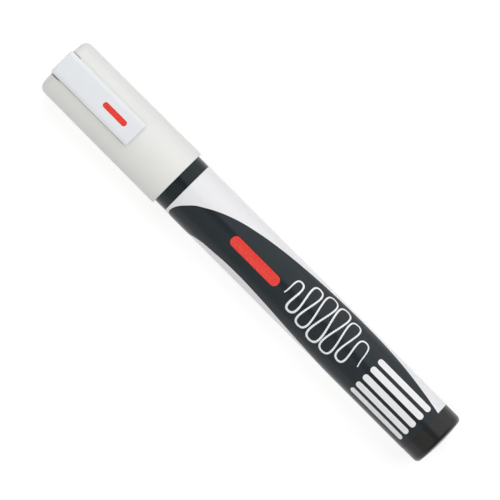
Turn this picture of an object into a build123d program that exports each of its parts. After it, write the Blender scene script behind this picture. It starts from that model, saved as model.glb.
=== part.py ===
from build123d import *

import math
import os

# A liquid chalk marker with its cap on, lying on its side with the pocket clip on top.
# Lengths are in millimetres. The pieces are made on the X axis, with the tail end at
# x = 0, the writing end towards +X and the clip towards +Z. They are then moved as one,
# so that the origin is under the middle of the marker, on the surface it lies on.

# Fits, as gaps on the radius
press_gap = 0.04
slide_gap = 0.06
cap_gap = 0.05
seal_gap = 0.05

# Barrel
barrel_diameter = 15.96
barrel_length = 85.7
barrel_wall = 1.1
barrel_edge_bevel = 0.2

# Rounded edges are turned in this many flats
round_steps = 3

# Tail plug
plug_head_length = 6.0
plug_head_inset = 0.05
plug_corner_round = 1.2
plug_crown = 0.57
plug_flat_diameter = 6.4
plug_end_wall = 2.2
plug_spigot_length = 9.0
plug_spigot_wall = 1.3

# Front section: spigot in the barrel, collar, land for the cap, neck and nose
spigot_length = 12.0
spigot_wall = 1.45
collar_length = 3.6
collar_inset = 0.1
cap_seat_width = 0.33
land_length = 9.0
snap_bead_height = 0.25
snap_bead_width = 1.2
snap_bead_setback = 2.4
shoulder_length = 1.6
neck_diameter = 10.2
neck_length = 9.6
nose_length = 4.5
nose_wall = 0.6
nose_edge_bevel = 0.2

# Nib
nib_diameter = 4.4
nib_reach = 6.2
nib_straight_reach = 1.5
nib_tip_radius = 1.1
nib_standoff = 3.0
nib_room = 1.3
nib_chamber_length = 21.0
flute_count = 4
flute_depth = 0.4

# Valve
valve_length = 11.5
valve_wall = 1.2
valve_front_wall = 2.2
valve_travel = 1.5
port_gap = 0.5
seat_width = 0.8
stem_pin_diameter = 1.6
stem_head_length = 1.0
stem_guide_diameter = 2.0
stem_tail_reach = 0.3
contact_gap = 0.05

# Valve spring and its cage
spring_wire = 0.35
spring_mean_diameter = 3.0
spring_turns = 4
spring_wire_sides = 5
cage_thickness = 1.4
cage_rim = 0.6
cage_hub_margin = 0.1
cage_arm_width = 1.1
cage_arm_count = 3

# Mixing ball
ball_diameter = 4.0
ball_gap = 0.05
ball_rest_setback = 40.0

# Cap
cap_wall = 1.1
cap_taper = 0.14
cap_shoulder_round = 2.1
cap_rim_bevel = 0.2
cap_mouth_bevel = 0.15
rest_flat_depth = 0.08
cap_top_wall = 1.45
socket_wall = 0.85
socket_relief = 0.5

# Inner cap
inner_cap_wall = 0.8
inner_cap_end_wall = 0.9
inner_cap_seal_length = 5.0
inner_cap_nose_diameter = 8.6
inner_cap_nose_length = 5.0
tip_room = 8.1

# Pocket clip and the notch it sits in
clip_length = 26.86
clip_width = 7.6
clip_thickness = 1.2
clip_overhang = 0.35
clip_bevel = 0.4
clip_corner_round = 0.4
clip_lip = 0.7
clip_ramp = 1.0
clip_rise = 0.6
clip_nub_gap = 0.1
clip_nub_setback = 1.5
land_cut = 0.4
land_setback = 0.7
notch_length = 3.0
notch_depth = 1.1
notch_slit = 0.35
slit_depth = 3.6
root_gap = 0.3
root_rear_gap = 0.1
bead_radius = 0.7
bead_gap = 0.05
bead_setback = 1.6
bead_sink = 0.3
bead_neck = 0.8
boss_margin = 0.9

# Radii that follow
barrel_radius = barrel_diameter / 2
bore_radius = barrel_radius - barrel_wall
plug_radius = barrel_radius - plug_head_inset
spigot_radius = bore_radius - press_gap
collar_radius = barrel_radius - collar_inset
land_radius = collar_radius - cap_seat_width
cap_bore_radius = land_radius + cap_gap
cap_rim_radius = cap_bore_radius + cap_wall
cap_end_radius = cap_rim_radius - cap_taper
neck_radius = neck_diameter / 2
nib_radius = nib_diameter / 2
guide_radius = nib_radius + slide_gap
nose_radius = guide_radius + flute_depth + nose_wall
nib_chamber_radius = nib_radius + nib_room
valve_bore_radius = spigot_radius - spigot_wall
valve_radius = valve_bore_radius - press_gap
valve_inner_radius = valve_radius - valve_wall
stem_pin_radius = stem_pin_diameter / 2
stem_guide_radius = stem_guide_diameter / 2
port_radius = stem_pin_radius + port_gap
seat_radius = port_radius + seat_width
spring_radius = spring_mean_diameter / 2
cage_radius = valve_inner_radius - press_gap
cage_hub_radius = spring_radius + spring_wire / 2 + cage_hub_margin
ball_radius = ball_diameter / 2
inner_cap_bore_radius = neck_radius + seal_gap
inner_cap_radius = inner_cap_bore_radius + inner_cap_wall
inner_cap_nose_radius = inner_cap_nose_diameter / 2
inner_cap_nose_bore_radius = inner_cap_nose_radius - inner_cap_end_wall
socket_radius = inner_cap_nose_radius + press_gap

# Places along the axis, from the tail end
barrel_rear = plug_head_length
barrel_front = barrel_rear + barrel_length
plug_spigot_end = barrel_rear + plug_spigot_length
spigot_rear = barrel_front - spigot_length
cap_rim = barrel_front + collar_length
land_end = cap_rim + land_length
neck_start = land_end + shoulder_length
neck_end = neck_start + neck_length
nose_end = neck_end + nose_length
nib_tip = nose_end + nib_reach
valve_front = spigot_rear + valve_length
seat_rear = valve_front - valve_front_wall
nib_rear = valve_front + nib_standoff
guide_rear = valve_front + nib_chamber_length
stem_tip = nib_rear - contact_gap
stem_seat = seat_rear - contact_gap * math.sqrt(2)
stem_shoulder = stem_seat - stem_head_length
stem_tail = spigot_rear - stem_tail_reach
cage_front = spigot_rear + cage_thickness
inner_cap_mouth = neck_end - inner_cap_seal_length
inner_cap_floor = nib_tip + tip_room
cap_ceiling = inner_cap_floor + inner_cap_end_wall
cap_end = cap_ceiling + cap_top_wall
clip_end = cap_end + clip_overhang
clip_tip = clip_end - clip_length
notch_rear = clip_end - notch_length
inner_cap_step = cap_ceiling - inner_cap_nose_length
socket_mouth = inner_cap_step + socket_relief
spring_rear = cage_front + spring_wire / 2 + contact_gap
spring_front = stem_shoulder - spring_wire / 2 - contact_gap
ball_rest = barrel_rear + ball_rest_setback
ball_rear_stop = plug_spigot_end + ball_radius
ball_front_stop = spigot_rear - ball_radius

# Lean of the axis as the marker lies on the rear of the barrel and the flat under the cap rim
rest_drop = cap_rim_radius - rest_flat_depth - barrel_radius
rest_angle = math.degrees(math.atan2(rest_drop, cap_rim - barrel_rear))

# Heights above the axis under the clip
clip_land = cap_end_radius - land_cut
clip_underside = clip_land + clip_rise
clip_top = clip_underside + clip_thickness
notch_floor = clip_land - notch_depth
slit_floor = clip_land - slit_depth
root_bottom = notch_floor + root_gap
bead_height = notch_floor - bead_sink
bead_place = clip_end - bead_setback
notch_width = clip_width + 2 * notch_slit


def corner_of(section, x, radius):
    return section.vertices().sort_by_distance((x, radius))[0]


def half_section(*corners):
    # Flat outline on one side of the axis. A corner is (x, radius) or (x, radius, bevel).
    section = make_face(Polyline(*[corner[:2] for corner in corners], close=True))
    for x, radius, bevel in [corner for corner in corners if len(corner) == 3]:
        section = chamfer(corner_of(section, x, radius), bevel)
    return section


def turned(*corners):
    return revolve(half_section(*corners), axis=Axis.X)


def bore(start, end, radius):
    return turned((start, 0), (start, radius), (end, radius), (end, 0))


def countersink(mouth, radius, depth):
    # Cone that opens a bore at its mouth. A negative depth opens it towards -X.
    return turned((mouth, 0), (mouth, radius + abs(depth)), (mouth - depth, radius), (mouth - depth, 0))


def arc_corners(centre_x, centre_radius, size, start, end):
    # Corners along a rounded edge, between two angles in degrees
    corners = []
    for index in range(round_steps + 1):
        angle = math.radians(start + (end - start) * index / round_steps)
        corners.append((centre_x + size * math.cos(angle), centre_radius + size * math.sin(angle)))
    return corners


def slab(x_start, x_end, width, z_start, z_end):
    size = Box(x_end - x_start, width, z_end - z_start)
    return Pos((x_start + x_end) / 2, 0, (z_start + z_end) / 2) * size


def barrel():
    tube = turned((barrel_rear, 0), (barrel_rear, barrel_radius, barrel_edge_bevel),
                  (barrel_front, barrel_radius, barrel_edge_bevel), (barrel_front, 0))
    return tube - bore(barrel_rear, barrel_front, bore_radius)


def tail_plug():
    corner = arc_corners(plug_crown + plug_corner_round, plug_radius - plug_corner_round,
                         plug_corner_round, 180, 90)
    plug = turned((0, 0), (0, plug_flat_diameter / 2), *corner, (barrel_rear, plug_radius),
                  (barrel_rear, spigot_radius), (plug_spigot_end, spigot_radius), (plug_spigot_end, 0))
    return plug - bore(plug_end_wall, plug_spigot_end, spigot_radius - plug_spigot_wall)


def front_section():
    land_core = land_radius - snap_bead_height
    bead_front = land_end - snap_bead_setback
    bead_rear = bead_front - snap_bead_width
    body = turned((spigot_rear, 0), (spigot_rear, spigot_radius), (barrel_front, spigot_radius),
                  (barrel_front, collar_radius), (cap_rim, collar_radius), (cap_rim, land_core),
                  (bead_rear - snap_bead_height, land_core), (bead_rear, land_radius),
                  (bead_front, land_radius), (bead_front + snap_bead_height, land_core),
                  (land_end, land_core), (neck_start, neck_radius), (neck_end, neck_radius),
                  (nose_end, nose_radius, nose_edge_bevel), (nose_end, 0))
    body -= bore(spigot_rear, valve_front, valve_bore_radius)
    body -= bore(valve_front, guide_rear, nib_chamber_radius)
    body -= bore(guide_rear, nose_end, guide_radius)
    flute = Rot(Y=90) * extrude(Circle(flute_depth), amount=nose_end - guide_rear)
    for index in range(flute_count):
        turn = Rot(X=360 / flute_count * index)
        body -= turn * Pos(guide_rear, 0, guide_radius) * flute
    return body


def writing_nib():
    straight_end = nose_end + nib_straight_reach
    taper_end = nib_tip - nib_tip_radius
    shaft = Polyline((taper_end, nib_tip_radius), (straight_end, nib_radius), (nib_rear, nib_radius),
                     (nib_rear, 0), (nib_tip, 0))
    point = TangentArc((nib_tip, 0), (taper_end, nib_tip_radius), tangent=(0, 1))
    return revolve(make_face(Curve() + [shaft, point]), axis=Axis.X)


def valve_housing():
    cup = bore(spigot_rear, valve_front, valve_radius)
    cup -= bore(spigot_rear, seat_rear, valve_inner_radius)
    cup -= bore(seat_rear, valve_front, port_radius)
    cup -= countersink(seat_rear, port_radius, -seat_width)
    return cup


def valve_stem():
    return turned((stem_tail, 0), (stem_tail, stem_guide_radius), (stem_shoulder, stem_guide_radius),
                  (stem_shoulder, seat_radius), (stem_seat, seat_radius),
                  (stem_seat + seat_width, port_radius), (stem_seat + seat_width, stem_pin_radius),
                  (stem_tip, stem_pin_radius), (stem_tip, 0))


def spring_point(angle):
    length = spring_front - spring_rear
    along = spring_rear + length * angle / (2 * math.pi * spring_turns)
    return Vector(along, spring_radius * math.sin(angle), spring_radius * math.cos(angle))


def spring_direction(angle):
    climb = (spring_front - spring_rear) / (2 * math.pi * spring_turns)
    return Vector(climb, spring_radius * math.cos(angle), -spring_radius * math.sin(angle)).normalized()


def biarc(start, start_way, end, end_way):
    # Two tangent arcs that leave start along start_way and reach end along end_way
    chord = end - start
    ways = start_way + end_way
    spread = 2 * (1 - start_way.dot(end_way))
    reach = (math.sqrt(chord.dot(ways) ** 2 + spread * chord.dot(chord)) - chord.dot(ways)) / spread
    first = start + start_way * reach
    second = end - end_way * reach
    middle = (first + second) * 0.5
    return [TangentArc(start, middle, tangent=start_way), TangentArc(middle, end, tangent=second - first)]


def valve_spring():
    angles = [math.pi * index for index in range(2 * spring_turns + 1)]
    arcs = []
    for near, far in zip(angles, angles[1:]):
        arcs += biarc(spring_point(near), spring_direction(near), spring_point(far), spring_direction(far))
    start = Plane(spring_point(0), z_dir=spring_direction(0))
    return sweep(start * RegularPolygon(spring_wire / 2, spring_wire_sides), path=Wire(arcs))


def spring_self_gap():
    # Least gap between one turn and the next, measured on points along the wire
    points_per_turn = 24
    points = [spring_point(2 * math.pi * index / points_per_turn)
              for index in range(points_per_turn * spring_turns + 1)]
    half_turn = points_per_turn // 2
    gaps = [(far - near).length - spring_wire
            for index, near in enumerate(points) for far in points[index + half_turn:]]
    return min(gaps)


def spring_cage():
    disc = bore(spigot_rear, cage_front, cage_radius)
    window = Circle(cage_radius - cage_rim) - Circle(cage_hub_radius)
    for index in range(cage_arm_count):
        arm = Pos(cage_radius / 2, 0) * Rectangle(cage_radius, cage_arm_width)
        window -= Rot(Z=360 / cage_arm_count * index) * arm
    disc -= Pos(spigot_rear, 0, 0) * extrude(Plane.YZ * window, amount=cage_thickness)
    disc -= bore(spigot_rear, cage_front, stem_guide_radius + slide_gap)
    return disc


def mixing_ball():
    return Pos(ball_rest, 0, ball_radius + ball_gap - bore_radius) * Sphere(ball_radius)


def cap_shell():
    shoulder = arc_corners(cap_end - cap_shoulder_round, cap_end_radius - cap_shoulder_round,
                           cap_shoulder_round, 90, 0)
    outside = turned((cap_rim, 0), (cap_rim, cap_rim_radius, cap_rim_bevel), *shoulder, (cap_end, 0))
    # Narrow flat under the rim, level with the rear of the barrel, on which the marker lies without rolling
    flat = Pos(cap_rim, 0, rest_flat_depth - cap_rim_radius) * Rot(0, rest_angle, 0)
    outside -= flat * slab(-cap_wall, cap_end - cap_rim, barrel_diameter, -cap_wall, 0)
    shell = outside - bore(cap_rim, cap_ceiling, cap_bore_radius)
    shell -= countersink(cap_rim, cap_bore_radius, -cap_mouth_bevel)
    socket = bore(socket_mouth, cap_ceiling, socket_radius + socket_wall)
    shell += socket - bore(socket_mouth, cap_ceiling, socket_radius)
    boss = slab(notch_rear - boss_margin, cap_end, notch_width + 2 * boss_margin,
                bead_height - bead_radius - boss_margin, cap_end_radius)
    shell += boss & outside - bore(cap_rim, cap_ceiling, socket_radius)
    shell -= slab(clip_tip + land_setback, clip_end, clip_width, clip_land, clip_top)
    shell -= slab(notch_rear, clip_end, notch_width, notch_floor, clip_top)
    slit = slab(notch_rear, clip_end, notch_slit, slit_floor, clip_top)
    for side in (-1, 1):
        shell -= Pos(0, side * (clip_width + notch_slit) / 2, 0) * slit
    groove = Plane.XZ * Pos(bead_place, bead_height) * Circle(bead_radius + bead_gap)
    shell -= extrude(groove, amount=notch_width / 2, both=True)
    return shell


def inner_cap():
    liner = bore(inner_cap_mouth, inner_cap_step, inner_cap_radius)
    liner += bore(inner_cap_step, cap_ceiling, inner_cap_nose_radius)
    liner -= bore(inner_cap_mouth, inner_cap_step - inner_cap_end_wall, inner_cap_bore_radius)
    return liner - bore(inner_cap_mouth, inner_cap_floor, inner_cap_nose_bore_radius)


def pocket_clip():
    root_rear = notch_rear + root_rear_gap
    side = make_face(Polyline((clip_tip, clip_top), (clip_end, clip_top), (clip_end, root_bottom),
                              (root_rear, root_bottom), (root_rear, clip_underside),
                              (clip_tip + clip_ramp, clip_underside), (clip_tip, clip_top - clip_lip),
                              close=True))
    side += Pos(bead_place, bead_height) * Circle(bead_radius)
    neck = Rectangle(bead_neck, root_bottom - bead_height)
    side += Pos(bead_place, (bead_height + root_bottom) / 2) * neck
    side += Pos(clip_tip + clip_nub_setback, clip_underside) * Circle(clip_rise - clip_nub_gap)
    clip = extrude(Plane.XZ * side, amount=clip_width / 2, both=True)
    tip_corners = clip.edges().filter_by(Axis.Z).group_by(Axis.X)[0]
    clip = fillet(tip_corners, clip_corner_round)
    return chamfer(clip.faces().sort_by(Axis.Z)[-1].edges(), clip_bevel)


pieces = {
    "barrel": barrel(),
    "tail_plug": tail_plug(),
    "front_section": front_section(),
    "writing_nib": writing_nib(),
    "valve_housing": valve_housing(),
    "valve_stem": valve_stem(),
    "valve_spring": valve_spring(),
    "spring_cage": spring_cage(),
    "mixing_ball": mixing_ball(),
    "cap_shell": cap_shell(),
    "inner_cap": inner_cap(),
    "pocket_clip": pocket_clip(),
}

os.makedirs("parts", exist_ok=True)
to_origin = Pos(-clip_end / 2, 0, cap_rim_radius)
for name, piece in pieces.items():
    export_step(to_origin * piece, f"parts/{name}.step")

print(f"overall length {clip_end:.2f}, width {2 * cap_rim_radius:.2f}")
print(f"overall height {cap_rim_radius + clip_top:.2f}")
print(f"spring gap to itself {spring_self_gap():.2f}")
print(f"ball range from rest {ball_rear_stop - ball_rest:.2f} to {ball_front_stop - ball_rest:.2f}")
print(f"clip hinge at x {bead_place - clip_end / 2:.2f}, z {cap_rim_radius + bead_height:.2f}")
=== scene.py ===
import math

import bmesh
import bpy
from mathutils import Matrix, Vector


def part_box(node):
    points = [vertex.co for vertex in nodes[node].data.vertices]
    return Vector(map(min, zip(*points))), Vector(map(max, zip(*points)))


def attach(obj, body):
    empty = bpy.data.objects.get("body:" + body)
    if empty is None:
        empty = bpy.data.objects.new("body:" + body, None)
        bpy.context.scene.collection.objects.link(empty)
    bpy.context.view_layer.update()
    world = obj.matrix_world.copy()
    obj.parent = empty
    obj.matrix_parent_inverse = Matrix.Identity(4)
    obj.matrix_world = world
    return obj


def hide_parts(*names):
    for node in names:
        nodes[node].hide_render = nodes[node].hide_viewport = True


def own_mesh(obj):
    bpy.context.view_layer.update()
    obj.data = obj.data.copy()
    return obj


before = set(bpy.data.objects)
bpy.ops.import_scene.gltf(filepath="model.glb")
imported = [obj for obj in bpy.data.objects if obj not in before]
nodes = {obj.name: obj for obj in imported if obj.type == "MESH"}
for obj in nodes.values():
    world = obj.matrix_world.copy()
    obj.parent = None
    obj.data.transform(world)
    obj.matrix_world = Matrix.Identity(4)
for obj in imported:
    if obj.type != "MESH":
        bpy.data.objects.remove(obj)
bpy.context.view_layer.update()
mm = 0.001

# the marker lies along X, and every round piece is turned about this line
barrelLow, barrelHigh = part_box("barrel")
axisZ = (barrelLow.z + barrelHigh.z) / 2
barrelRadius = (barrelHigh.z - barrelLow.z) / 2
axisPoint = Vector((0, 0, axisZ))
print("frame loaded, axis height", round(axisZ / mm, 2), "mm")


# tools for finishes: the noise hardly leaves its middle range, so tints and gloss are spread over that
noise = {"low": 0.3, "high": 0.7, "cloudDetail": 3, "glossDetail": 4, "skinDetail": 2, "grainDetail": 3}


def newMaterial(name):
    material = bpy.data.materials.new(name)
    material.use_nodes = True
    tree = material.node_tree
    shader = tree.nodes["Principled BSDF"]
    return material, tree, shader


def noiseAt(tree, scale, detail, stretch=(1, 1, 1)):
    # noise in metres on the object's own coordinates, stretch below 1 draws it out along that axis
    place = tree.nodes.new("ShaderNodeTexCoord")
    mapping = tree.nodes.new("ShaderNodeMapping")
    mapping.inputs["Scale"].default_value = stretch
    texture = tree.nodes.new("ShaderNodeTexNoise")
    texture.inputs["Scale"].default_value = scale
    texture.inputs["Detail"].default_value = detail
    tree.links.new(place.outputs["Object"], mapping.inputs["Vector"])
    tree.links.new(mapping.outputs["Vector"], texture.inputs["Vector"])
    return texture.outputs["Fac"]


def mapRange(tree, value, fromLow, fromHigh, toLow, toHigh):
    spread = tree.nodes.new("ShaderNodeMapRange")
    spread.inputs["From Min"].default_value = fromLow
    spread.inputs["From Max"].default_value = fromHigh
    spread.inputs["To Min"].default_value = toLow
    spread.inputs["To Max"].default_value = toHigh
    tree.links.new(value, spread.inputs["Value"])
    return spread.outputs["Result"]


def tintBetween(tree, shader, value, first, second):
    ramp = tree.nodes.new("ShaderNodeValToRGB")
    ramp.color_ramp.elements[0].position = noise["low"]
    ramp.color_ramp.elements[1].position = noise["high"]
    ramp.color_ramp.elements[0].color = (*first, 1)
    ramp.color_ramp.elements[1].color = (*second, 1)
    tree.links.new(value, ramp.inputs["Fac"])
    tree.links.new(ramp.outputs["Color"], shader.inputs["Base Color"])


def glossBetween(tree, shader, value, roughness):
    spread = mapRange(tree, value, noise["low"], noise["high"], *roughness)
    tree.links.new(spread, shader.inputs["Roughness"])


def bumpFrom(tree, shader, value, height):
    bump = tree.nodes.new("ShaderNodeBump")
    bump.inputs["Distance"].default_value = height
    bump.inputs["Strength"].default_value = 1
    tree.links.new(value, bump.inputs["Height"])
    tree.links.new(bump.outputs["Normal"], shader.inputs["Normal"])


def mouldedFinish(name, look):
    # moulded or printed plastic: cloudy tint, uneven gloss and a fine skin
    material, tree, shader = newMaterial(name)
    cloud = noiseAt(tree, look["cloudScale"], noise["cloudDetail"])
    tintBetween(tree, shader, cloud, look["tint"], look["tintShade"])
    gloss = noiseAt(tree, look["glossScale"], noise["glossDetail"])
    glossBetween(tree, shader, gloss, look["roughness"])
    skin = noiseAt(tree, look["skinScale"], noise["skinDetail"])
    bumpFrom(tree, shader, skin, look["skinHeight"])
    shader.inputs["Specular IOR Level"].default_value = look["specular"]
    return material


def metalFinish(name, look):
    material, tree, shader = newMaterial(name)
    streak = noiseAt(tree, look["streakScale"], noise["grainDetail"])
    tintBetween(tree, shader, streak, look["tint"], look["tintShade"])
    glossBetween(tree, shader, streak, look["roughness"])
    shader.inputs["Metallic"].default_value = look["metal"]
    return material


def fibreFinish(name, look):
    # bonded fibres that run along the marker; the darker tint lies in the low parts of their bump, so
    # besides the fibres' own uneven tone it is painted shade in the hollows between them
    material, tree, shader = newMaterial(name)
    fibre = noiseAt(tree, look["fibreScale"], noise["grainDetail"], (look["along"], 1, 1))
    tintBetween(tree, shader, fibre, look["tintShade"], look["tint"])
    glossBetween(tree, shader, fibre, look["roughness"])
    bumpFrom(tree, shader, fibre, look["fibreHeight"])
    shader.inputs["Specular IOR Level"].default_value = look["specular"]
    return material


# tools for shapes: steps round a turned piece, a rounded corner and a rod, lengths in metres that count
# as none, and the angle in degrees from which an edge stays sharp
fineness = {"turnSteps": 168, "cornerSegments": 7, "rodSides": 40, "weld": 1e-8, "same": 1e-7,
            "carveWeld": 1e-6, "sharp": 32}


def turnAbout(axis, degrees):
    return Matrix.Rotation(math.radians(degrees), 4, axis)


def meshObject(name, bm):
    mesh = bpy.data.meshes.new(name)
    bm.to_mesh(mesh)
    bm.free()
    thing = bpy.data.objects.new(name, mesh)
    bpy.context.scene.collection.objects.link(thing)
    return thing


def finishedMesh(source):
    # what an object's curve or modifiers make, as a bmesh
    depsgraph = bpy.context.evaluated_depsgraph_get()
    bm = bmesh.new()
    bm.from_mesh(bpy.data.meshes.new_from_object(source.evaluated_get(depsgraph)))
    return bm


def placePiece(name, bm, material, body, standsFor=()):
    piece = meshObject(name, bm)
    piece.data.materials.append(material)
    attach(piece, body)
    if standsFor:
        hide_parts(*standsFor)
    return piece


def dressNode(name, material):
    nodes[name].data.materials.clear()
    nodes[name].data.materials.append(material)


def faceOutwards(bm):
    # on a thin curved film the recalculation can end inside out, which the signed volume tells
    bmesh.ops.recalc_face_normals(bm, faces=bm.faces)
    if bm.calc_volume(signed=True) < 0:
        bmesh.ops.reverse_faces(bm, faces=bm.faces)


def shadeByAngle(bm, sharp=fineness["sharp"]):
    for face in bm.faces:
        face.smooth = True
    for edge in bm.edges:
        edge.smooth = not edge.is_manifold or edge.calc_face_angle(0) < math.radians(sharp)


def sectionLoop(bm, corners, place, close):
    # a wire through the corners (a, b, rounding), each corner rounded by a vertex bevel
    verts = [bm.verts.new(place(a, b)) for a, b, _ in corners]
    ends = zip(verts, verts[1:] + verts[:1]) if close else zip(verts, verts[1:])
    for start, end in ends:
        bm.edges.new((start, end))
    for vert, (_, _, rounding) in zip(verts, corners):
        if rounding:
            bmesh.ops.bevel(bm, geom=[vert], offset=rounding, affect="VERTICES",
                            segments=fineness["cornerSegments"], profile=0.5, material=-1)


def flatSheet(corners, place):
    bm = bmesh.new()
    sectionLoop(bm, corners, place, close=True)
    bmesh.ops.contextual_create(bm, geom=bm.edges[:])
    return bm


def roundedBar(start, end, low, high, share, place):
    # flat bar with round corners, share is how much of its width a corner takes
    rounding = (high - low) * share
    corners = [(start, low), (end, low), (end, high), (start, high)]
    return flatSheet([(a, b, rounding) for a, b in corners], place)


def drawOut(bm, reach):
    # a flat sheet becomes a solid
    grown = bmesh.ops.extrude_face_region(bm, geom=bm.faces[:])
    moved = [part for part in grown["geom"] if isinstance(part, bmesh.types.BMVert)]
    bmesh.ops.translate(bm, verts=moved, vec=reach)


def turnedBody(corners, close):
    # corners (x, radius, rounding), turned about the marker's axis
    bm = bmesh.new()
    sectionLoop(bm, corners, lambda x, radius: (x, 0, axisZ + radius), close)
    bmesh.ops.spin(bm, geom=bm.verts[:] + bm.edges[:], cent=axisPoint, axis=(1, 0, 0),
                   angle=2 * math.pi, steps=fineness["turnSteps"], use_merge=True)
    bmesh.ops.remove_doubles(bm, verts=bm.verts, dist=fineness["weld"])
    faceOutwards(bm)
    return bm


def boxShape(low, high):
    bm = bmesh.new()
    size = Vector(high) - Vector(low)
    middle = (Vector(low) + Vector(high)) / 2
    bmesh.ops.create_cube(bm, size=1, matrix=Matrix.Translation(middle) @ Matrix.Diagonal((*size, 1)))
    return bm


def crossRod(x, z, radius, halfWidth):
    # round rod across the marker
    bm = bmesh.new()
    place = Matrix.Translation((x, 0, z)) @ turnAbout("X", 90)
    bmesh.ops.create_cone(bm, cap_ends=True, segments=fineness["rodSides"], radius1=radius, radius2=radius,
                          depth=2 * halfWidth, matrix=place)
    return bm


def sideShape(outline, halfWidth):
    # side outline (x, z), drawn out across the marker
    bm = flatSheet([(x, z, 0) for x, z in outline], lambda x, z: (x, -halfWidth, z))
    drawOut(bm, (0, 2 * halfWidth, 0))
    faceOutwards(bm)
    return bm


def carve(bm, cuts, adds=()):
    # boolean cuts and then additions, made final, so that only the finished mesh stays
    blank = meshObject("shape", bm)
    for operation, shapes in (("DIFFERENCE", cuts), ("UNION", adds)):
        for shape in shapes:
            modifier = blank.modifiers.new("carve", "BOOLEAN")
            modifier.operation = operation
            modifier.solver = "EXACT"
            modifier.object = meshObject("shape", shape)
    carved = finishedMesh(blank)
    for spare in [modifier.object for modifier in blank.modifiers] + [blank]:
        bpy.data.objects.remove(spare)
    bmesh.ops.remove_doubles(carved, verts=carved.verts, dist=fineness["carveWeld"])
    bmesh.ops.dissolve_degenerate(carved, edges=carved.edges, dist=fineness["carveWeld"])
    return carved


# camera: down on the marker, a little from the +Y side, so that it crosses the picture
# from upper left to lower right
view = {"turn": 225.08, "lean": 1.8, "distance": 2.0, "frameWidth": 127.5 * mm, "sensor": 36.0,
        "right": -0.305 * mm, "up": 0.685 * mm, "near": 0.05, "far": 50}


def makeCamera():
    aim = turnAbout("X", -view["lean"]) @ turnAbout("Z", view["turn"])
    lens = bpy.data.cameras.new("camera")
    lens.sensor_width = view["sensor"]
    lens.lens = view["sensor"] * view["distance"] / view["frameWidth"]
    lens.clip_start = view["near"]
    lens.clip_end = view["far"]
    camera = bpy.data.objects.new("camera", lens)
    camera.location = axisPoint + aim @ Vector((view["right"], view["up"], view["distance"]))
    camera.rotation_euler = aim.to_euler()
    bpy.context.scene.collection.objects.link(camera)
    bpy.context.scene.camera = camera


makeCamera()
print("camera placed")


# barrel: white tube with softened ends
barrelSizes = {"wall": 1.1 * mm, "edge": 0.2 * mm}
barrelLook = {"tint": (0.81, 0.81, 0.83), "tintShade": (0.795, 0.795, 0.82), "cloudScale": 60,
              "roughness": (0.2, 0.27), "glossScale": 900, "skinScale": 2600, "skinHeight": 2e-6,
              "specular": 0.5}


def makeBarrel(material):
    rear, front = barrelLow.x, barrelHigh.x
    bore = barrelRadius - barrelSizes["wall"]
    edge = barrelSizes["edge"]
    bm = turnedBody([(rear, bore, 0), (rear, barrelRadius, edge),
                     (front, barrelRadius, edge), (front, bore, 0)], close=True)
    shadeByAngle(bm)
    placePiece("barrelTube", bm, material, "barrel", ["barrel"])


makeBarrel(mouldedFinish("barrelWhite", barrelLook))
print("barrel made")


# printed films on the barrel, in mm along the marker and degrees round it, 0 is straight up;
# they are drawn flat, cut in strips and rolled round the barrel
printSizes = {"sink": 0.01, "panelTop": 0.02, "markTop": 0.035, "stripTurn": 1.5, "turnFromClip": -1.8,
              "weld": 1e-4, "cutSlack": 1e-5, "sliver": 1e-3}
printBlackLook = {"tint": (0.0175, 0.0245, 0.03), "tintShade": (0.0195, 0.0265, 0.032), "cloudScale": 120,
                  "roughness": (0.14, 0.2), "glossScale": 900, "skinScale": 2600, "skinHeight": 1e-6,
                  "specular": 0.2}
printWhiteLook = {"tint": (0.83, 0.83, 0.85), "tintShade": (0.8, 0.8, 0.82), "cloudScale": 400,
                  "roughness": (0.28, 0.4), "glossScale": 1200, "skinScale": 2600, "skinHeight": 3e-6,
                  "specular": 0.4}
printRedLook = {"tint": (0.82, 0.046, 0.03), "tintShade": (0.79, 0.04, 0.026), "cloudScale": 300,
                "roughness": (0.24, 0.32), "glossScale": 1000, "skinScale": 2600, "skinHeight": 2e-6,
                "specular": 0.35}
panel = {"outline": [(22.25, -53.2), (19.5, -18.6), (16.1, -1), (9.4, 21.7), (2.7, 36.4), (-3.9, 47.2),
                     (-10.8, 56.2), (-20.7, 66), (-35.5, 72), (-45.7, 64.1), (-52.4, 54.2), (-62.5, 36.9),
                     (-62.5, -125), (-45, -103), (-30.7, -77), (-20.7, -65), (-10.8, -56.3), (-0.6, -52.6),
                     (6.06, -56.3), (12.7, -67.5), (15.75, -88), (18.6, -97), (21.1, -86)],
         "sharpCorners": [(-62.5, 36.9), (-62.5, -125)], "curveSteps": 10}
bars = {"start": -60.57, "end": -42.26, "turns": (27.6, 7.3, -12.55, -32.25, -52.1), "width": 12.6,
        "rounding": 0.45}
pill = {"start": -10.5, "end": 6.06, "turn": -5.9, "width": 21.5, "rounding": 0.46}
hatch = {"points": [(-13, -8), (-14.6, 28), (-17, -28), (-19.2, 46), (-21.4, -35), (-23.6, 55), (-26, -40),
                    (-28, 57), (-30.4, -38), (-32.4, 50), (-34.8, -28), (-36.8, 34), (-39.6, -10)],
         "swell": (0.7, 1.0, 1.3, 1.0, 1.25, 0.95, 1.35, 1.05, 1.2, 0.95, 1.15, 0.9, 0.6),
         "width": 0.5, "curveSteps": 28, "roundSteps": 2}


def arcAt(turn):
    # where a turn round the barrel lies on the flat film, in mm
    return math.radians(turn + printSizes["turnFromClip"]) * barrelRadius / mm


def smoothCurve(name, points, sharp=()):
    curve = bpy.data.curves.new(name, "CURVE")
    spline = curve.splines.new("BEZIER")
    spline.bezier_points.add(len(points) - 1)
    for knot, (x, turn) in zip(spline.bezier_points, points):
        knot.co = (x, arcAt(turn), 0)
        kind = "VECTOR" if (x, turn) in sharp else "AUTO"
        knot.handle_left_type = kind
        knot.handle_right_type = kind
    return curve, spline


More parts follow.
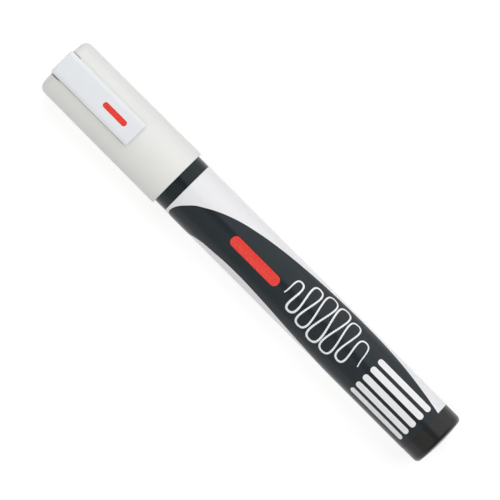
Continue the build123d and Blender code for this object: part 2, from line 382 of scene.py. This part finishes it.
def curveMesh(curve):
    # the curve's surface, the curve itself goes
    holder = bpy.data.objects.new(curve.name, curve)
    bpy.context.scene.collection.objects.link(holder)
    bm = finishedMesh(holder)
    bpy.data.objects.remove(holder)
    bmesh.ops.remove_doubles(bm, verts=bm.verts, dist=printSizes["weld"])
    return bm


def cutStrips(bm):
    step = math.radians(printSizes["stripTurn"]) * barrelRadius / mm
    reach = [vert.co.y for vert in bm.verts]
    for index in range(math.ceil(min(reach) / step), math.floor(max(reach) / step) + 1):
        bmesh.ops.bisect_plane(bm, geom=bm.verts[:] + bm.edges[:] + bm.faces[:], dist=printSizes["cutSlack"],
                               plane_co=(0, index * step, 0), plane_no=(0, 1, 0))
    bmesh.ops.dissolve_degenerate(bm, edges=bm.edges, dist=printSizes["sliver"])


def rollFilm(bm):
    # rolls the flat film round the barrel and takes it from mm to metres
    for vert in bm.verts:
        turn = vert.co.y * mm / barrelRadius
        radius = barrelRadius + vert.co.z * mm
        vert.co = (vert.co.x * mm, -math.sin(turn) * radius, axisZ + math.cos(turn) * radius)
    faceOutwards(bm)
    shadeByAngle(bm)


def makePanel(material):
    curve, spline = smoothCurve("panelOutline", panel["outline"], panel["sharpCorners"])
    curve.dimensions = "2D"
    curve.fill_mode = "BOTH"
    curve.resolution_u = panel["curveSteps"]
    spline.use_cyclic_u = True
    bm = curveMesh(curve)
    cutStrips(bm)
    bmesh.ops.translate(bm, verts=bm.verts, vec=(0, 0, -printSizes["sink"]))
    drawOut(bm, (0, 0, printSizes["panelTop"] + printSizes["sink"]))
    rollFilm(bm)
    placePiece("printPanel", bm, material, "barrel")


def makeMark(name, mark, turn, material):
    low, high = arcAt(turn - mark["width"] / 2), arcAt(turn + mark["width"] / 2)
    bm = roundedBar(mark["start"], mark["end"], low, high, mark["rounding"], lambda x, arc: (x, arc, 0))
    cutStrips(bm)
    drawOut(bm, (0, 0, printSizes["markTop"]))
    rollFilm(bm)
    placePiece(name, bm, material, "barrel")


def makeHatch(material):
    # one chalky stroke to and fro across the panel, a round strand pressed flat
    curve, spline = smoothCurve("hatch", hatch["points"])
    curve.dimensions = "3D"
    curve.resolution_u = hatch["curveSteps"]
    curve.bevel_depth = hatch["width"] / 2
    curve.bevel_resolution = hatch["roundSteps"]
    curve.use_fill_caps = True
    for knot, swell in zip(spline.bezier_points, hatch["swell"]):
        knot.radius = swell
    bm = curveMesh(curve)
    deepest = max(abs(vert.co.z) for vert in bm.verts)
    rise = printSizes["markTop"] - printSizes["panelTop"]
    for vert in bm.verts:
        vert.co.z = printSizes["panelTop"] + vert.co.z / deepest * rise
    rollFilm(bm)
    placePiece("printHatch", bm, material, "barrel")


printWhite = mouldedFinish("printWhite", printWhiteLook)
printRed = mouldedFinish("printRed", printRedLook)
makePanel(mouldedFinish("printBlack", printBlackLook))
for number, turn in enumerate(bars["turns"], start=1):
    makeMark("printBar" + str(number), bars, turn, printWhite)
makeMark("printPill", pill, pill["turn"], printRed)
makeHatch(printWhite)
print("barrel prints made")


# tail plug: domed black end with a rounded edge, spigot inside the barrel
plugSizes = {"crown": 0.75 * mm, "corner": 1.2 * mm, "headInset": 0.05 * mm, "edge": 0.05 * mm,
             "spigotGap": 0.04 * mm, "spigotWall": 1.3 * mm, "endWall": 2.2 * mm, "domeSteps": 8}
plugLook = {"tint": (0.017, 0.017, 0.017), "tintShade": (0.0195, 0.0195, 0.0193), "cloudScale": 90,
            "roughness": (0.15, 0.22), "glossScale": 700, "skinScale": 2400, "skinHeight": 2e-6,
            "specular": 0.26}
collarLook = {"tint": (0.0115, 0.018, 0.0215), "tintShade": (0.0135, 0.02, 0.0235), "cloudScale": 90,
              "roughness": (0.15, 0.22), "glossScale": 700, "skinScale": 2400, "skinHeight": 2e-6,
              "specular": 0.2}


def makeTailPlug(material):
    plugLow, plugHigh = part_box("tail_plug")
    tail, seat, spigotEnd = plugLow.x, barrelLow.x, plugHigh.x
    radius = barrelRadius - plugSizes["headInset"]
    spigot = barrelRadius - barrelSizes["wall"] - plugSizes["spigotGap"]
    inside = spigot - plugSizes["spigotWall"]
    floor = tail + plugSizes["endWall"]
    shares = [step / plugSizes["domeSteps"] for step in range(plugSizes["domeSteps"])]
    dome = [(tail + plugSizes["crown"] * share ** 2, radius * share, 0) for share in shares]
    bm = turnedBody(dome + [(tail + plugSizes["crown"], radius, plugSizes["corner"]),
                            (seat, radius, plugSizes["edge"]), (seat, spigot, 0), (spigotEnd, spigot, 0),
                            (spigotEnd, inside, 0), (floor, inside, 0), (floor, 0, 0)], close=False)
    shadeByAngle(bm)
    placePiece("tailPlug", bm, material, "barrel", ["tail_plug"])


makeTailPlug(mouldedFinish("plugBlack", plugLook))
dressNode("front_section", mouldedFinish("collarBlack", collarLook))
print("tail plug and front section made")


# cap: off-white shell with a flat bed for the clip and a seam along it, a notch between two slits
# for the clip's root, and a groove in the notch for its bead
capSizes = {"wall": 1.1 * mm, "taper": 0.14 * mm, "shoulder": 2.1 * mm, "rimEdge": 0.2 * mm,
            "mouthEdge": 0.15 * mm, "solidEnd": 3.55 * mm, "topWall": 1.45 * mm, "socketRadius": 4.34 * mm,
            "bedCut": 0.4 * mm, "bedSetback": 0.7 * mm, "notchLength": 3.0 * mm, "notchDepth": 1.1 * mm,
            "litSlit": 0.2 * mm, "shadedSlit": 0.3 * mm, "slitDepth": 3.6 * mm, "seamWidth": 0.08 * mm,
            "seamDepth": 0.45 * mm, "beadSetback": 1.6 * mm, "beadSink": 0.3 * mm, "grooveRadius": 0.75 * mm,
            "past": 2 * mm}
capLook = {"tint": (0.79, 0.79, 0.775), "tintShade": (0.775, 0.775, 0.758), "cloudScale": 70,
           "roughness": (0.42, 0.5), "glossScale": 800, "skinScale": 2600, "skinHeight": 4e-6,
           "specular": 0.42}
capLow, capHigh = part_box("cap_shell")
clipLow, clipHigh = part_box("pocket_clip")
halfClip = (clipHigh.y - clipLow.y) / 2


def capRadiusAt(x):
    rimRadius = (capHigh.y - capLow.y) / 2
    return rimRadius - capSizes["taper"] * (x - capLow.x) / (capHigh.x - capLow.x)


# heights and places that the cap shares with the clip's root
bedHeight = axisZ + capRadiusAt(capHigh.x) - capSizes["bedCut"]
notchFloor = bedHeight - capSizes["notchDepth"]
beadPlace = clipHigh.x - capSizes["beadSetback"]
beadHeight = notchFloor - capSizes["beadSink"]


def capBlank():
    rim, end = capLow.x, capHigh.x
    bore = capRadiusAt(rim) - capSizes["wall"]
    socket = capSizes["socketRadius"]
    step, ceiling = end - capSizes["solidEnd"], end - capSizes["topWall"]
    return turnedBody([(rim, bore, capSizes["mouthEdge"]), (rim, capRadiusAt(rim), capSizes["rimEdge"]),
                       (end, capRadiusAt(end), capSizes["shoulder"]), (end, 0, 0), (ceiling, 0, 0),
                       (ceiling, socket, 0), (step, socket, 0), (step, bore, 0)], close=True)


def makeCap(material):
    # -Y is the lit side of the clip, +Y the shaded one; every cut runs out past the clip's end and top
    litSide, shadedSide = -halfClip - capSizes["litSlit"], halfClip + capSizes["shadedSlit"]
    over, past = clipHigh.z + capSizes["past"], clipHigh.x + capSizes["past"]
    bedStart, notchStart = clipLow.x + capSizes["bedSetback"], clipHigh.x - capSizes["notchLength"]
    slitFloor = bedHeight - capSizes["slitDepth"]
    capBesideClip = axisZ + math.sqrt(capRadiusAt(capHigh.x) ** 2 - halfClip ** 2)
    seamFloor, seamSide = capBesideClip - capSizes["seamDepth"], halfClip + capSizes["seamWidth"]
    bed = boxShape((bedStart, -halfClip, bedHeight), (past, halfClip, over))
    seam = boxShape((bedStart, halfClip, seamFloor), (past, seamSide, over))
    notch = boxShape((notchStart, litSide, notchFloor), (past, shadedSide, over))
    litSlit = boxShape((notchStart, litSide, slitFloor), (past, -halfClip, over))
    shadedSlit = boxShape((notchStart, halfClip, slitFloor), (past, shadedSide, over))
    groove = crossRod(beadPlace, beadHeight, capSizes["grooveRadius"], halfClip)
    bm = carve(capBlank(), [bed, seam, notch, litSlit, shadedSlit, groove])
    shadeByAngle(bm)
    placePiece("capShell", bm, material, "cap", ["cap_shell"])


makeCap(mouldedFinish("capIvory", capLook))
print("cap made")


# pocket clip: bar with soft upper edges and sides that follow the cap, a nub at the free end,
# and a root that drops into the notch, with a bead that turns in the cap's groove
clipSizes = {"thickness": 1.2 * mm, "lip": 1.0 * mm, "ramp": 1.0 * mm, "sideRamp": 1.6 * mm,
             "sideEdge": 1.5 * mm, "sideDrop": 0.9 * mm, "sideSegments": 10, "tipEdge": 0.12 * mm,
             "rootEdge": 0.5 * mm, "endSegments": 5, "sideWall": 0.6 * mm, "sideGap": 0.1 * mm,
             "rootLength": 2.9 * mm, "rootGap": 0.3 * mm, "beadRadius": 0.7 * mm, "neckLength": 0.8 * mm,
             "nubSetback": 1.5 * mm, "nubRadius": 0.5 * mm, "inset": 0.05 * mm, "printRoom": 0.01 * mm,
             "sharp": 40}
clipLook = {"tint": (0.79, 0.81, 0.84), "tintShade": (0.775, 0.797, 0.83), "cloudScale": 80,
            "roughness": (0.33, 0.4), "glossScale": 900, "skinScale": 2600, "skinHeight": 3e-6,
            "specular": 0.45}


def sameAlong(axis, verts, value):
    return all(abs(getattr(vert.co, axis) - value) < fineness["same"] for vert in verts)


def roundEdges(bm, edges, rounding, segments):
    bmesh.ops.bevel(bm, geom=edges, offset=rounding, affect="EDGES", segments=segments,
                    profile=0.5, material=-1)


def roundSides(bm, top):
    # the long upper edges, rounded while the bar is stretched upwards, so that the curve is wider than deep
    stretch = clipSizes["sideEdge"] / clipSizes["sideDrop"]
    fromTop = Matrix.Translation((0, 0, -top))
    bmesh.ops.scale(bm, vec=(1, 1, stretch), space=fromTop, verts=bm.verts)
    sides = [edge for edge in bm.edges if sameAlong("z", edge.verts, top)
             and sameAlong("y", edge.verts, edge.verts[0].co.y)]
    roundEdges(bm, sides, clipSizes["sideEdge"], clipSizes["sideSegments"])
    bmesh.ops.scale(bm, vec=(1, 1, 1 / stretch), space=fromTop, verts=bm.verts)


def clipBlank(bottom, top):
    bm = boxShape((clipLow.x, clipLow.y, bottom), (clipHigh.x, clipHigh.y, top))
    roundSides(bm, top)
    for end, rounding in ((clipLow.x, clipSizes["tipEdge"]), (clipHigh.x, clipSizes["rootEdge"])):
        rim = [edge for edge in bm.edges if sameAlong("x", edge.verts, end)]
        roundEdges(bm, rim, rounding, clipSizes["endSegments"])
    return bm


def makeClip(material):
    tip, rootRear = clipLow.x, clipHigh.x - clipSizes["rootLength"]
    under, lip = clipHigh.z - clipSizes["thickness"], clipHigh.z - clipSizes["lip"]
    bottom = notchFloor + clipSizes["rootGap"]
    before, below = tip - capSizes["past"], bottom - capSizes["past"]  # where the cuts run out
    between, inside = halfClip - clipSizes["sideWall"], halfClip - clipSizes["inset"]
    hollow = sideShape([(before, below), (before, lip), (tip, lip), (tip + clipSizes["ramp"], under),
                        (rootRear, under), (rootRear, below)], between)
    rampCut = sideShape([(before, below), (before, lip), (tip, lip), (tip + clipSizes["sideRamp"], below)],
                        halfClip + capSizes["past"])
    gap = clipSizes["sideGap"]
    overCap = turnedBody([(before, 0, 0), (before, capRadiusAt(before) + gap, 0),
                          (rootRear, capRadiusAt(rootRear) + gap, 0), (rootRear, 0, 0)], close=False)
    nub = crossRod(tip + clipSizes["nubSetback"], under, clipSizes["nubRadius"], between)
    bead = crossRod(beadPlace, beadHeight, clipSizes["beadRadius"], inside)
    halfNeck = clipSizes["neckLength"] / 2
    neck = boxShape((beadPlace - halfNeck, -inside, beadHeight),
                    (beadPlace + halfNeck, inside, bottom + clipSizes["rootGap"]))
    blank = clipBlank(bottom, clipHigh.z - clipSizes["printRoom"])
    bm = carve(blank, [hollow, rampCut, overCap], [nub, bead, neck])
    shadeByAngle(bm, clipSizes["sharp"])
    placePiece("pocketClip", bm, material, "clip", ["pocket_clip"])


makeClip(mouldedFinish("clipWhite", clipLook))
print("clip made")


# small red bar on the clip
clipPill = {"middle": 49.3 * mm, "length": 8.0 * mm, "width": 1.6 * mm, "rise": 0.02 * mm, "rounding": 0.48}


def makeClipPill(material):
    start, end = clipPill["middle"] - clipPill["length"] / 2, clipPill["middle"] + clipPill["length"] / 2
    half, foot = clipPill["width"] / 2, clipHigh.z - clipPill["rise"]
    bm = roundedBar(start, end, -half, half, clipPill["rounding"], lambda x, y: (x, y, foot))
    drawOut(bm, (0, 0, clipPill["rise"]))
    faceOutwards(bm)
    shadeByAngle(bm)
    placePiece("clipPill", bm, material, "clip")


makeClipPill(printRed)
print("clip print made")


# valve spring: closed end coils and open turns between them, wound about the stem
springSizes = {"wire": 0.35 * mm, "wireSides": 12, "stepsPerTurn": 40, "endTurns": 1, "openTurns": 3,
               "endPitch": 1.06, "travel": 1.5 * mm, "sharp": 50}
steelLook = {"tint": (0.58, 0.58, 0.6), "tintShade": (0.5, 0.5, 0.52), "roughness": (0.22, 0.36),
             "streakScale": 5000, "metal": 1.0}


def closeEnd(bm, ring):
    bmesh.ops.contextual_create(bm, geom=[part for part in ring if isinstance(part, bmesh.types.BMEdge)])


def makeSpring(material):
    low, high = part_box("valve_spring")
    wire = springSizes["wire"]
    winding = (high.y - low.y) / 2 - wire / 2
    start, length = low.x + wire / 2, high.x - low.x - wire
    endTurns, openTurns = springSizes["endTurns"], springSizes["openTurns"]
    endPitch = wire * springSizes["endPitch"]
    openPitch = (length - 2 * endTurns * endPitch) / openTurns
    bm = bmesh.new()
    firstPlace = Matrix.Translation((start, 0, axisZ + winding)) @ turnAbout("X", 90)
    ring = bmesh.ops.create_circle(bm, cap_ends=False, radius=wire / 2, segments=springSizes["wireSides"],
                                   matrix=firstPlace)
    front = ring["verts"] + list({edge for vert in ring["verts"] for edge in vert.link_edges})
    closeEnd(bm, front)
    steps = springSizes["stepsPerTurn"]
    for turns, pitch in ((endTurns, endPitch), (openTurns, openPitch), (endTurns, endPitch)):
        wound = bmesh.ops.spin(bm, geom=front, cent=axisPoint, axis=(1, 0, 0), dvec=(pitch / steps, 0, 0),
                               angle=2 * math.pi * turns, steps=steps * turns)
        front = [part for part in wound["geom_last"] if not isinstance(part, bmesh.types.BMFace)]
    closeEnd(bm, front)
    bmesh.ops.remove_doubles(bm, verts=bm.verts, dist=fineness["weld"])
    faceOutwards(bm)
    shadeByAngle(bm, springSizes["sharp"])
    spring = placePiece("valveSpring", bm, material, "barrel", ["valve_spring"])
    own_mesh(spring)


makeSpring(metalFinish("springSteel", steelLook))
print("spring wound")


# finishes of the inner pieces, whose shapes come from the frame
linerLook = {"tint": (0.78, 0.79, 0.78), "tintShade": (0.75, 0.76, 0.75), "cloudScale": 120,
             "roughness": (0.4, 0.5), "glossScale": 900, "skinScale": 2400, "skinHeight": 4e-6,
             "specular": 0.4}
valveLook = {"tint": (0.72, 0.73, 0.72), "tintShade": (0.68, 0.69, 0.68), "cloudScale": 160,
             "roughness": (0.3, 0.4), "glossScale": 1100, "skinScale": 2600, "skinHeight": 3e-6,
             "specular": 0.45}
ballLook = {"tint": (0.7, 0.7, 0.72), "tintShade": (0.66, 0.66, 0.68), "roughness": (0.06, 0.14),
            "streakScale": 1500, "metal": 1.0}
# the nib's darker tint is partly painted shade, as it lies in the hollows of the fibre bump
fibreLook = {"tint": (0.86, 0.85, 0.82), "tintShade": (0.76, 0.75, 0.71), "fibreScale": 5200, "along": 0.06,
             "roughness": (0.8, 0.95), "fibreHeight": 2.5e-5, "specular": 0.2}

valvePlastic = mouldedFinish("valvePlastic", valveLook)
for inner in ("valve_housing", "valve_stem", "spring_cage"):
    dressNode(inner, valvePlastic)
dressNode("inner_cap", mouldedFinish("linerPlastic", linerLook))
dressNode("mixing_ball", metalFinish("ballSteel", ballLook))
dressNode("writing_nib", fibreFinish("nibFibre", fibreLook))
print("inner pieces dressed")


# floor and light: two soft boxes that the gloss shows, and panels overhead and off both ends that it
# doesn't; the floor glows for the camera, the gloss and clear pieces, and is plain grey for the rest
studio = {"floorHeight": -0.1 * mm, "floorSize": 2, "floorTint": (0.42, 0.42, 0.42), "floorGlow": 0.69,
          "skyLow": 1.0, "skyHigh": 0.1, "skyBand": (0.05, 0.2)}
lamps = {"litSoftBox": {"tilt": -47.2, "lean": 0, "distance": 0.85, "width": 1.3, "length": 1.4,
                        "brightness": 1.39, "inGloss": True, "colour": (1, 1, 1)},
         "fillSoftBox": {"tilt": 50.8, "lean": 0, "distance": 0.85, "width": 1.3, "length": 1.4,
                         "brightness": 0.59, "inGloss": True, "colour": (1, 1, 0.95)},
         "topPanel": {"tilt": 13.8, "lean": 0, "distance": 1.5, "width": 0.9, "length": 0.9,
                      "brightness": 2.1, "inGloss": False, "colour": (1, 1, 1)},
         "capEndPanel": {"tilt": 13.8, "lean": 72, "distance": 1.5, "width": 1.0, "length": 1.0,
                         "brightness": 1.1, "inGloss": False, "colour": (1, 1, 1)},
         "tailEndPanel": {"tilt": 13.8, "lean": -72, "distance": 1.5, "width": 1.0, "length": 1.0,
                          "brightness": 1.1, "inGloss": False, "colour": (1, 1, 1)}}


def joinValues(tree, operation, first):
    # a math node whose first value is linked, its second one is still open
    node = tree.nodes.new("ShaderNodeMath")
    node.operation = operation
    tree.links.new(first, node.inputs[0])
    return node


def floorFinish():
    material, tree, shader = newMaterial("floorWhite")
    shader.inputs["Base Color"].default_value = (*studio["floorTint"], 1)
    shader.inputs["Roughness"].default_value = 1
    shader.inputs["Specular IOR Level"].default_value = 0
    shader.inputs["Emission Color"].default_value = (1, 1, 1, 1)
    rays = tree.nodes.new("ShaderNodeLightPath")
    shown = rays.outputs["Is Camera Ray"]
    for kind in ("Is Glossy Ray", "Is Transmission Ray"):
        either = joinValues(tree, "MAXIMUM", shown)
        tree.links.new(rays.outputs[kind], either.inputs[1])
        shown = either.outputs["Value"]
    glow = joinValues(tree, "MULTIPLY", shown)
    glow.inputs[1].default_value = studio["floorGlow"]
    tree.links.new(glow.outputs["Value"], shader.inputs["Emission Strength"])
    return material


def makeFloor(material):
    bm = bmesh.new()
    bmesh.ops.create_grid(bm, x_segments=1, y_segments=1, size=studio["floorSize"] / 2,
                          matrix=Matrix.Translation((0, 0, studio["floorHeight"])))
    floor = meshObject("floor", bm)
    floor.data.materials.append(material)


def makeLamp(name, lamp):
    # tilt is from straight up towards +Y and lean from there towards +X, in degrees;
    # brightness is what a mirror would show
    light = bpy.data.lights.new(name, "AREA")
    light.shape = "RECTANGLE"
    light.size = lamp["length"]
    light.size_y = lamp["width"]
    light.color = lamp["colour"]
    light.energy = lamp["brightness"] * math.pi * lamp["length"] * lamp["width"]
    aim = turnAbout("X", -lamp["tilt"]) @ turnAbout("Y", lamp["lean"])
    holder = bpy.data.objects.new(name, light)
    holder.location = axisPoint + aim @ Vector((0, 0, lamp["distance"]))
    holder.rotation_euler = aim.to_euler()
    holder.visible_camera = False
    holder.visible_glossy = lamp["inGloss"]
    bpy.context.scene.collection.objects.link(holder)


def makeSky():
    # white at the horizon, dimmer overhead
    world = bpy.data.worlds.new("sky")
    world.use_nodes = True
    tree = world.node_tree
    place = tree.nodes.new("ShaderNodeTexCoord")
    split = tree.nodes.new("ShaderNodeSeparateXYZ")
    tree.links.new(place.outputs["Generated"], split.inputs["Vector"])
    strength = mapRange(tree, split.outputs["Z"], *studio["skyBand"], studio["skyLow"], studio["skyHigh"])
    tree.links.new(strength, tree.nodes["Background"].inputs["Strength"])
    tree.nodes["Background"].inputs["Color"].default_value = (1, 1, 1, 1)
    bpy.context.scene.world = world


makeFloor(floorFinish())
for name, lamp in lamps.items():
    makeLamp(name, lamp)
makeSky()
bpy.context.scene.view_settings.view_transform = "Standard"
print("floor and light made")

print("pieces done")
